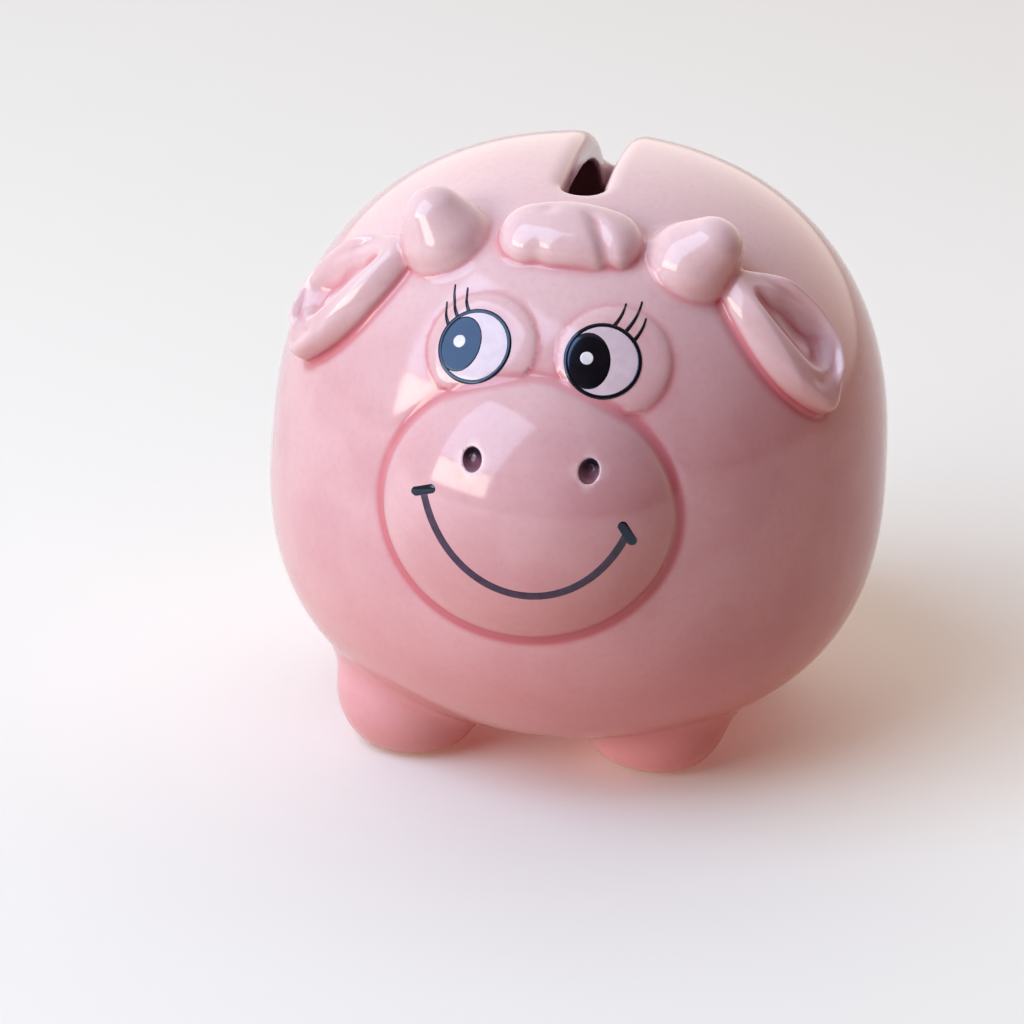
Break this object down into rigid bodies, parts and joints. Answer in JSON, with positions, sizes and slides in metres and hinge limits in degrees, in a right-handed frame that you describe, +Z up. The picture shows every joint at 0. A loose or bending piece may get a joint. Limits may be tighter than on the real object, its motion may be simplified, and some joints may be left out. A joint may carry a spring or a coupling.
{
  "type": "figural animal coin bank",
  "caption": "Small round glazed earthenware animal on stub feet, with a wide muzzle, horns, forelock and ears, a coin slot in its crown and a soft stopper in its belly.",
  "frame": {"origin": "on the surface that the feet rest on, under the middle of the whole bank's width and depth", "axes": "+Z up; the animal faces -Y and its own left side is +X"},
  "size_m": [0.06, 0.068, 0.0574],
  "materials": {
    "body_glaze": "glossy pink glaze, deeper rose where it pools in creases",
    "raised_glaze": "glossy pink glaze, pale where it runs thin on ridges",
    "foot_glaze": "glossy pink glaze over bare beige soles",
    "black_enamel": "glossy black on-glaze print",
    "soft_plastic": "soft satin moulded plastic"
  },
  "bodies": {
    "bank": {"body_shell": "body_glaze", "muzzle": "body_glaze", "left_ear": "raised_glaze", "right_ear": "raised_glaze", "left_horn": "raised_glaze", "right_horn": "raised_glaze", "hair_tuft": "raised_glaze", "front_left_foot": "foot_glaze", "front_right_foot": "foot_glaze", "rear_left_foot": "foot_glaze", "rear_right_foot": "foot_glaze", "tail": "raised_glaze", "left_eye_transfer": "black_enamel", "right_eye_transfer": "black_enamel", "smile_transfer": "black_enamel"},
    "stopper": {"base_stopper": "soft_plastic"}
  },
  "joints": [
    {"name": "stopper_pull", "type": "slide", "parent": "bank", "child": "stopper", "axis": [0, 0, -1], "range_m": [0, 0.012]}
  ]
}
